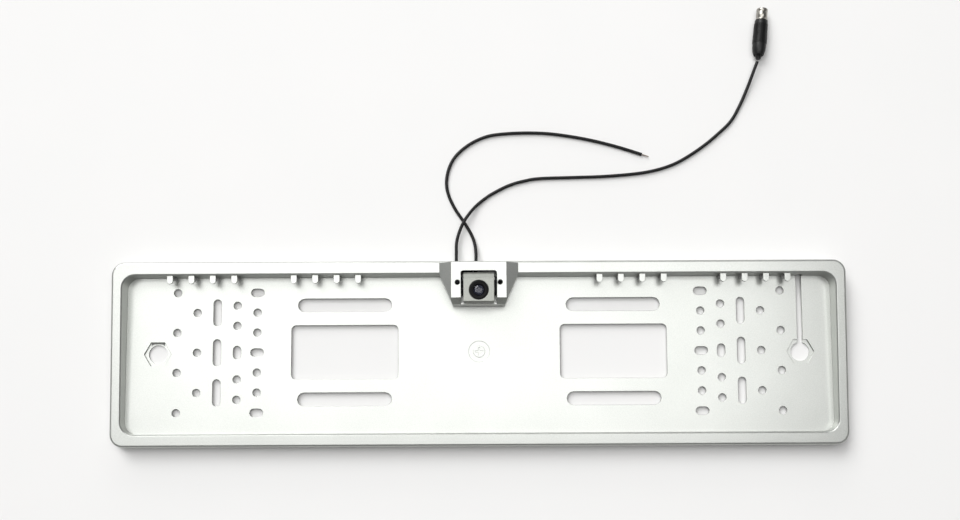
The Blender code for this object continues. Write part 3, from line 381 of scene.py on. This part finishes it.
jack = {
    "rear": Vector((0.2117, 0.2225, 0.0052)),
    "turnDegrees": -6.2,
    "entry": 3.8 * mm,
    "diameter": 10.2 * mm,
    "mouth": 9.6 * mm,
    "length": 30 * mm,
    "entryLength": 10 * mm,
    "socketDepth": 4 * mm,
    "socketGap": 0.3 * mm,
    "edge": 0.3 * mm,
    "lip": 0.2 * mm,
    "mouthLand": 0.5 * mm,
    "reliefRings": 3,
    "ringStart": 0.6 * mm,
    "ringPitch": 0.9 * mm,
    "ringHalf": 0.3 * mm,
    "ringRise": 0.12 * mm,
    "ringDip": 0.2 * mm,
    "shoulderStart": 1.6 * mm,
    "shoulderSteps": 8,
    "gripFromEntry": 2 * mm,
    "gripFromMouth": 3 * mm,
    "rimDrop": 0.6 * mm,
    "flutes": 26,
    "fluteDepth": 0.3 * mm,
    "fluteInset": 0.12 * mm,
    "barrel": 8.3 * mm,
    "barrelLength": 9 * mm,
    "barrelWall": 0.6 * mm,
    "groovesAt": (1.2 * mm, 6.4 * mm),
    "grooveDepth": 0.2 * mm,
    "contactBore": 3.2 * mm,
    "contactWall": 0.4 * mm,
}


def jackAxis():
    turn = math.radians(jack["turnDegrees"])
    return Vector((-math.sin(turn), math.cos(turn), 0))


def jackSeat(j):
    # where the barrel, insulator and contact start inside the socket
    return j["length"] - j["socketDepth"] + j["socketGap"]


def makeJackBody(j):
    body, mouth, entry = j["diameter"] / 2, j["mouth"] / 2, j["entry"] / 2
    socket = j["barrel"] / 2 + j["socketGap"]
    profile = [(0, 0), (entry - j["edge"], 0), (entry, j["edge"])]
    for k in range(1, j["reliefRings"] + 1):  # strain-relief rings near the lead, each a little wider
        at = j["ringStart"] + k * j["ringPitch"]
        ridge = entry + j["ringRise"] * k
        profile += [(ridge, at - j["ringHalf"]), (ridge - j["ringDip"], at),
                    (entry + j["ringRise"] * (k + 1), at + j["ringHalf"])]
    for k in range(3, j["shoulderSteps"] + 1):  # quarter ellipse from the last ring to the full width
        angle = math.pi / 2 * k / j["shoulderSteps"]
        profile.append((entry + (body - entry) * math.sin(angle),
                        j["entryLength"] - (j["entryLength"] - j["shoulderStart"]) * math.cos(angle)))
    grip = [j["entryLength"] + j["gripFromEntry"], j["length"] - j["gripFromMouth"]]
    slope = (mouth - body) / (j["length"] - j["entryLength"])
    for at in grip + [j["length"] - j["rimDrop"]]:
        profile.append((body + slope * (at - j["entryLength"]), at))
    profile += [(mouth - j["mouthLand"], j["length"]), (socket + j["lip"], j["length"]),
                (socket, j["length"] - j["lip"]), (socket, j["length"] - j["socketDepth"]),
                (0, j["length"] - j["socketDepth"])]
    piece = spinProfile("jackBody", profile, 2 * j["flutes"])
    middle = sum(grip) / 2

    def inFlute(face):
        c = face.center
        turn = math.atan2(c.y, c.x) / (2 * math.pi) * 2 * j["flutes"]
        onSkin = math.hypot(c.x, c.y) > mouth - 0.6 * mm
        nearMiddle = abs(c.z - middle) < 1 * mm
        return nearMiddle and onSkin and int(math.floor(turn)) % 2 == 0

    pickFaces(piece, inFlute)
    bpy.ops.mesh.inset(thickness=j["fluteInset"], depth=-j["fluteDepth"], use_individual=True)
    settle(piece, 40)
    standAlong(piece, j["rear"], jackAxis())
    settle(piece, 40)
    return piece


def makeJackTube(j, name, outer, bore, low, high, lip):
    profile = [(bore / 2, low), (outer / 2, low), (outer / 2, high - lip), (outer / 2 - lip, high),
               (bore / 2 + lip * 0.5, high), (bore / 2, high - lip * 0.5)]
    piece = spinProfile(name, profile, 40)
    standAlong(piece, j["rear"], jackAxis())
    settle(piece, 40)
    return piece


def makeJackBarrel(j):
    # nickelled shell with two rolled grooves
    end = j["length"] + j["barrelLength"]
    outer, bore = j["barrel"] / 2, j["barrel"] / 2 - j["barrelWall"]
    valley = outer - j["grooveDepth"]
    profile = [(bore, jackSeat(j)), (outer, jackSeat(j))]
    for along in j["groovesAt"]:
        at = j["length"] + along
        profile += [(outer, at), (valley, at + 0.25 * mm), (valley, at + 0.6 * mm), (outer, at + 0.85 * mm)]
    profile += [(outer, end - 0.3 * mm), (outer - 0.25 * mm, end), (bore + 0.1 * mm, end),
                (bore, end - 0.15 * mm)]
    piece = spinProfile("jackBarrel", profile, 48)
    standAlong(piece, j["rear"], jackAxis())
    settle(piece, 40)
    return piece


jackBody = makeJackBody(jack)
paintWith(jackBody, plugPlastic)
jackBarrel = makeJackBarrel(jack)
paintWith(jackBarrel, nickel)
tip = jack["length"] + jack["barrelLength"]
contactOuter = jack["contactBore"] + 2 * jack["contactWall"]
insulatorOuter = jack["barrel"] - 2 * jack["barrelWall"] - 2 * jack["socketGap"]
insulatorBore = contactOuter + 2 * jack["socketGap"]
jackInsulator = makeJackTube(jack, "jackInsulator", insulatorOuter, insulatorBore, jackSeat(jack),
                             tip - 0.8 * mm, 0.25 * mm)
paintWith(jackInsulator, insulator)
jackContact = makeJackTube(jack, "jackContact", contactOuter, jack["contactBore"], jackSeat(jack),
                           tip - 1.2 * mm, 0.15 * mm)
paintWith(jackContact, gold)
for piece, node, slot in ((jackBody, "video_jack_body", "black_plastic"),
                          (jackBarrel, "video_jack_barrel", "nickel_plate"),
                          (jackInsulator, "video_jack_insulator", "white_insulator"),
                          (jackContact, "video_jack_contact", "gold_plate")):
    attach(piece, "frame")
    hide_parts(node)
print("jack made")


# stripped end of the power lead

strands = {
    "count": 6,
    "strandDiameter": 0.32 * mm,
    "bundle": 0.34 * mm,
    "length": 5.1 * mm,
    "turns": 0.8,
    "points": 16,
    "gap": 0.3 * mm,
    "taper": 0.35,
    "shorter": 0.03,
}


def makeStrands(s):
    end, before = Vector(leads["powerRoute"][-1]), Vector(leads["powerRoute"][-2])
    along = (end - before).normalized()
    side = along.cross(Vector((0, 0, 1))).normalized()
    up = side.cross(along)
    start = end + along * s["gap"]
    made = []
    for k in range(s["count"] + 1):  # the last strand is the straight one in the middle
        path = []
        length = s["length"] * (1 - s["shorter"] * (k % 3))
        for i in range(s["points"]):
            t = i / (s["points"] - 1)
            turn = 2 * math.pi * (k / s["count"] + s["turns"] * t)
            spread = 0 if k == s["count"] else s["bundle"] * (1 - s["taper"] * t ** 3)
            path.append(start + along * length * t + (side * math.cos(turn) + up * math.sin(turn)) * spread)
        made.append(roundLead("strand%d" % k, path, s["strandDiameter"], 2))
    bpy.ops.object.select_all(action='DESELECT')
    for strand in made:
        strand.select_set(True)
    bpy.context.view_layer.objects.active = made[0]
    bpy.ops.object.convert(target='MESH')
    bpy.ops.object.join()
    bundle = bpy.context.active_object
    bundle.name = "copperStrands"
    bpy.ops.object.shade_smooth_by_angle(angle=math.radians(50))
    return bundle


copperStrands = makeStrands(strands)
paintWith(copperStrands, tinnedCopper)
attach(copperStrands, "frame")
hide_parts("power_lead_core")

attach(videoLead, "frame")
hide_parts("video_lead")
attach(powerLead, "frame")
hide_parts("power_lead")


# pieces taken from the frame's own solids; the rigid ones have their edges eased,
# as a mould or press leaves them

flatDegrees = 0.4


def mergedCopy(node, name):
    source = frame["nodes"][node]
    piece = source.copy()
    piece.data = source.data.copy()
    piece.name = name
    piece.data.name = name
    piece.parent = None
    bpy.context.scene.collection.objects.link(piece)
    selectOnly(piece)
    piece.matrix_world = Matrix.Identity(4)
    bpy.ops.object.mode_set(mode='EDIT')
    bpy.ops.mesh.select_all(action='SELECT')
    bpy.ops.mesh.remove_doubles(threshold=weldGap)
    bpy.ops.mesh.dissolve_limited(angle_limit=math.radians(flatDegrees))
    bpy.ops.object.mode_set(mode='OBJECT')
    return piece


def easedCopy(node, name, ease, segments, material, wanted=None, sharp=28, smooth=40):
    piece = mergedCopy(node, name)
    bevelEdges(piece, ease, segments, wanted, sharp)
    selectOnly(piece)
    bpy.ops.object.shade_smooth_by_angle(angle=math.radians(smooth))
    weigh = piece.modifiers.new("weigh", 'WEIGHTED_NORMAL')
    weigh.keep_sharp = True
    bpy.ops.object.modifier_apply(modifier=weigh.name)
    paintWith(piece, material)
    return piece


def bevelEdges(piece, ease, segments, wanted, sharp):
    # edges that turn more than the sharp angle and pass the test are selected, then bevelled
    shape = bmesh.new()
    shape.from_mesh(piece.data)
    for part in (shape.verts, shape.edges, shape.faces):
        for element in part:
            element.select = False
    limit = math.radians(sharp)
    for edge in shape.edges:
        if len(edge.link_faces) != 2 or edge.calc_face_angle(0) < limit:
            continue
        middle = (edge.verts[0].co + edge.verts[1].co) / 2
        edge.select = wanted is None or wanted(middle, edge)
    shape.select_flush(False)
    shape.to_mesh(piece.data)
    shape.free()
    bpy.ops.object.mode_set(mode='EDIT')
    bpy.ops.mesh.select_mode(type='EDGE')
    bpy.ops.mesh.bevel(offset=ease, offset_type='OFFSET', segments=segments, affect='EDGES',
                       clamp_overlap=False)
    bpy.ops.object.mode_set(mode='OBJECT')


bodyOf = {node: body for body, nodes in frame["record"]["behaviour"]["bodies"].items() for node in nodes}


def stand(piece, node):
    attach(piece, bodyOf[node])
    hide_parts(node)


frameFront = {
    "panel": 3.1 * mm,
    "rim": 11.3 * mm,
    "bayHalfWidth": 261.5 * mm,
    "bayBottom": -59.2 * mm,
    "bayTop": 59.0 * mm,
    "shortestEdge": 0.25 * mm,
}


def onFrameFront(middle, edge):
    # everything seen from the front: the rim, the hole edges, the lugs; not the channel behind the rim
    f = frameFront
    inBay = abs(middle.x) < f["bayHalfWidth"] and f["bayBottom"] < middle.y < f["bayTop"]
    return middle.z > f["panel"] and (inBay or middle.z > f["rim"]) and edge.calc_length() > f["shortestEdge"]


plateFrame = easedCopy("plate_frame", "plateFrame", 0.22 * mm, 2, framePaint, onFrameFront)
stand(plateFrame, "plate_frame")
print("plate frame made")


podOutside = {
    "front": 16.8 * mm,
    "footInnerX": 18 * mm,
    "footTop": 40 * mm,
    "lipHalfWidth": 13.6 * mm,
    "lipTop": 38 * mm,
    "shortestEdge": 0.3 * mm,
}


def onPodOutside(middle, edge):
    # the pod's outer corners and its window; its hollow and the thin lip below the window stay sharp
    p = podOutside
    foot = abs(middle.x) > p["footInnerX"] and middle.y < p["footTop"]
    lip = abs(middle.x) < p["lipHalfWidth"] and middle.y < p["lipTop"]
    return (middle.z > p["front"] or foot) and not lip and edge.calc_length() > p["shortestEdge"]


podCover = easedCopy("pod_cover", "podCover", 0.25 * mm, 2, framePaint, onPodOutside)
stand(podCover, "pod_cover")

eased = {  # node: piece name, ease in mm, segments, material
    "pod_back_plate": ("podBackPlate", 0.2, 2, framePaint),
    "camera_case": ("cameraCase", 0.3, 3, headPaint),
    "camera_rear_cover": ("cameraRearCover", 0.25, 2, headPaint),
    "camera_bracket": ("cameraBracket", 0.18, 2, blackSheet),
    "face_screw_left": ("faceScrewLeft", 0.07, 2, blackZinc),
    "face_screw_right": ("faceScrewRight", 0.07, 2, blackZinc),
    "rail_screw_left": ("railScrewLeft", 0.07, 2, brightZinc),
    "rail_screw_right": ("railScrewRight", 0.07, 2, brightZinc),
    "back_screw_left": ("backScrewLeft", 0.07, 2, brightZinc),
    "back_screw_right": ("backScrewRight", 0.07, 2, brightZinc),
    "pivot_screw_left": ("pivotScrewLeft", 0.07, 2, brightZinc),
    "pivot_screw_right": ("pivotScrewRight", 0.07, 2, brightZinc),
    "pivot_washer_left": ("pivotWasherLeft", 0.1, 2, brightZinc),
    "pivot_washer_right": ("pivotWasherRight", 0.1, 2, brightZinc),
    "case_screw_1": ("caseScrew1", 0.05, 2, brightZinc),
    "case_screw_2": ("caseScrew2", 0.05, 2, brightZinc),
    "case_screw_3": ("caseScrew3", 0.05, 2, brightZinc),
    "case_screw_4": ("caseScrew4", 0.05, 2, brightZinc),
    "lead_gland": ("leadGland", 0.3, 3, rubber),
    "video_grommet": ("videoGrommet", 0.3, 3, rubber),
    "power_grommet": ("powerGrommet", 0.3, 3, rubber),
    "sensor_board": ("sensorBoard", 0.08, 1, boardMask),
    "lens_holder": ("lensHolder", 0.15, 2, lensPlastic),
    "lens_barrel": ("lensBarrel", 0.12, 2, lensPlastic),
}
for node, (name, ease, segments, material) in eased.items():
    piece = easedCopy(node, name, ease * mm, segments, material)
    stand(piece, node)
print("eased pieces made")


# lens ring and lenses

optics = {
    "y": (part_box("lens_ring")[0].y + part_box("lens_ring")[1].y) / 2,
    "ringLow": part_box("lens_ring")[0].z,
    "ringTop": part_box("lens_ring")[1].z,
    "ringRadius": 6.85 * mm,
    "bore": 4.3 * mm,
    # (in from the rim, down from the top) in mm: rounded shoulder, flat land, first and second baffle step
    "ringSteps": [(0, 0.35), (0.1, 0.12), (0.35, 0), (1.0, 0),
                  (1.2, 0.12), (1.35, 0.3), (1.9, 0.34), (2.0, 0.5)],
    "glassLow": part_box("front_lens")[0].z,
    "glassTop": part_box("front_lens")[1].z,
    "glassRadius": 4.0 * mm,
    "rearLow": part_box("rear_lens")[0].z,
    "rearTop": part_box("rear_lens")[1].z,
    "rearRadius": 2.8 * mm,
}


def makeLensRing(o):
    low, top, rim, bore = o["ringLow"], o["ringTop"], o["ringRadius"], o["bore"]
    profile = [(bore, low), (rim, low)]
    profile += [(rim - inward * mm, top - down * mm) for inward, down in o["ringSteps"]]
    profile += [(bore + 0.15 * mm, top - 0.54 * mm), (bore, top - 0.66 * mm)]
    piece = spinProfile("lensRing", profile, 72)
    piece.location = (0, o["y"], 0)
    settle(piece, 30)
    paintWith(piece, lensPlastic)
    return piece


def domedGlass(name, radius, low, top, edgeShare, aboutY, steps=9):
    crown = top - low
    edge = 0.1 * mm
    profile = [(0, low), (radius - edge, low), (radius, low + edge), (radius, low + crown * edgeShare)]
    for k in range(1, steps + 1):
        angle = math.pi / 2 * k / steps
        height = low + crown * (edgeShare + (1 - edgeShare) * math.sin(angle))
        profile.append((radius * math.cos(angle), height))
    profile[-1] = (0, top)
    piece = spinProfile(name, profile, 56)
    piece.location = (0, aboutY, 0)
    settle(piece, 40)
    paintWith(piece, glass)
    return piece


lensRing = makeLensRing(optics)
stand(lensRing, "lens_ring")
frontLens = domedGlass("frontLens", optics["glassRadius"], optics["glassLow"], optics["glassTop"], 0.3,
                       optics["y"])
stand(frontLens, "front_lens")
rearLens = domedGlass("rearLens", optics["rearRadius"], optics["rearLow"], optics["rearTop"], 0.25,
                      optics["y"])
stand(rearLens, "rear_lens")
print("lens made")


# image sensor: package with a sunk window

sensor = {
    "border": 0.9 * mm,
    "step": 0.08 * mm,
    "windowDepth": 0.25 * mm,
}


def makeSensor(s):
    low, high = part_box("image_sensor")
    bpy.ops.object.select_all(action='DESELECT')
    bpy.ops.mesh.primitive_cube_add(size=1, location=(low + high) / 2)
    piece = bpy.context.active_object
    piece.name = "imageSensor"
    piece.scale = high - low
    bpy.ops.object.transform_apply(location=True, rotation=True, scale=True)
    pickFaces(piece, lambda face: face.normal.z > 0.9)
    bpy.ops.mesh.inset(thickness=s["border"], depth=0)
    bpy.ops.mesh.inset(thickness=s["step"], depth=-s["windowDepth"])
    bpy.ops.object.mode_set(mode='OBJECT')
    paintWith(piece, sensorBlack)
    return piece


imageSensor = makeSensor(sensor)
stand(imageSensor, "image_sensor")


# leads inside the pod, copied from the frame's own solids and smoothed.
# Known fault: at the lower limit the video lead goes 0.3 mm into the plate frame.

innerLeads = {
    "fixedLength": 2 * mm,
    "carriedFromGland": 0.5 * mm,
    "smoothDegrees": 60,
}


def makeInnerLead(node, name):
    piece = mergedCopy(node, name)
    selectOnly(piece)
    bpy.ops.object.shade_smooth_by_angle(angle=math.radians(innerLeads["smoothDegrees"]))
    paintWith(piece, leadJacket)
    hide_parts(node)
    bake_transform(piece)


makeInnerLead("video_lead_inner", "videoLeadInner")
makeInnerLead("power_lead_inner", "powerLeadInner")
print("inner pieces made")


# floor and light

studio = {
    "floorSize": 24.0,
    "floorDrop": 0.02 * mm,  # keeps the floor clear of faces at height 0
    "floorGrainScale": 12.0,
    "high": 0.15,
    "horizon": 0.6,
    "horizonBand": (0.03, 0.34),  # sine of the height above the horizon where the pale band ends
    "sun": {"from": (-0.42, 0.64, 0.68), "strength": 2.15, "spreadDegrees": 38},
    "overhead": {"at": (-0.13, 0.2, 1.6), "size": (1.9, 0.9), "power": 15.5, "aim": (-0.13, 0.2, 0.0)},
    "lowStrip": {"at": (-0.1, 2.2, 0.75), "size": (1.6, 0.5), "power": 9, "aim": (0.0, 0.05, 0.0)},
}


def makeFloor(s):
    bpy.ops.object.select_all(action='DESELECT')
    bpy.ops.mesh.primitive_plane_add(size=s["floorSize"], location=(0, 0, -s["floorDrop"]))
    floor = bpy.context.active_object
    floor.name = "floor"
    material, tree, shader = newMaterial("paleFloor")
    place = addNode(tree, "ShaderNodeTexCoord")
    grain = addNode(tree, "ShaderNodeTexNoise", {"Vector": place.outputs["Object"],
                                                 "Scale": s["floorGrainScale"]})
    tones = addTones(tree, grain.outputs["Fac"], "e9e9e8", "ecebea", (0, 1))
    tree.links.new(tones, shader.inputs["Base Color"])
    setInputs(shader, Roughness=0.9, Specular_IOR_Level=0.1)
    paintWith(floor, material)


def makeLight(name, setup):
    data = bpy.data.lights.new(name, 'AREA')
    data.shape = 'RECTANGLE'
    data.size, data.size_y = setup["size"]
    data.energy = setup["power"]
    lamp = bpy.data.objects.new(name, data)
    bpy.context.scene.collection.objects.link(lamp)
    lamp.location = setup["at"]
    aim = Vector(setup["aim"]) - Vector(setup["at"])
    lamp.rotation_mode = 'QUATERNION'
    lamp.rotation_quaternion = aim.to_track_quat('-Z', 'Y')
    lamp.visible_camera = False


def makeSun(setup):
    data = bpy.data.lights.new("largeDiffuser", 'SUN')
    data.energy = setup["strength"]
    data.angle = math.radians(setup["spreadDegrees"])
    lamp = bpy.data.objects.new("largeDiffuser", data)
    bpy.context.scene.collection.objects.link(lamp)
    lamp.location = setup["from"]
    lamp.rotation_mode = 'QUATERNION'
    lamp.rotation_quaternion = (-Vector(setup["from"])).to_track_quat('-Z', 'Y')


def makeRoom(s):
    world = bpy.data.worlds.new("paleRoom")
    bpy.context.scene.world = world
    world.use_nodes = True
    tree = world.node_tree
    place = addNode(tree, "ShaderNodeTexCoord")
    axes = addNode(tree, "ShaderNodeSeparateXYZ", {"Vector": place.outputs["Generated"]})
    band = addNode(tree, "ShaderNodeMapRange", {"Value": axes.outputs["Z"], "From Min": s["horizonBand"][0],
                                                "From Max": s["horizonBand"][1], "To Min": s["horizon"],
                                                "To Max": s["high"]}, interpolation_type='SMOOTHSTEP')
    tree.links.new(band.outputs["Result"], tree.nodes["Background"].inputs["Strength"])
    tree.nodes["Background"].inputs["Color"].default_value = (1, 1, 1, 1)


def makeStudio(s):
    makeFloor(s)
    makeSun(s["sun"])
    makeLight("overheadSoftbox", s["overhead"])
    makeLight("lowStripbox", s["lowStrip"])
    makeRoom(s)
    bpy.context.scene.view_settings.view_transform = 'Standard'
    bpy.context.scene.view_settings.look = 'None'


makeStudio(studio)
print("studio set")
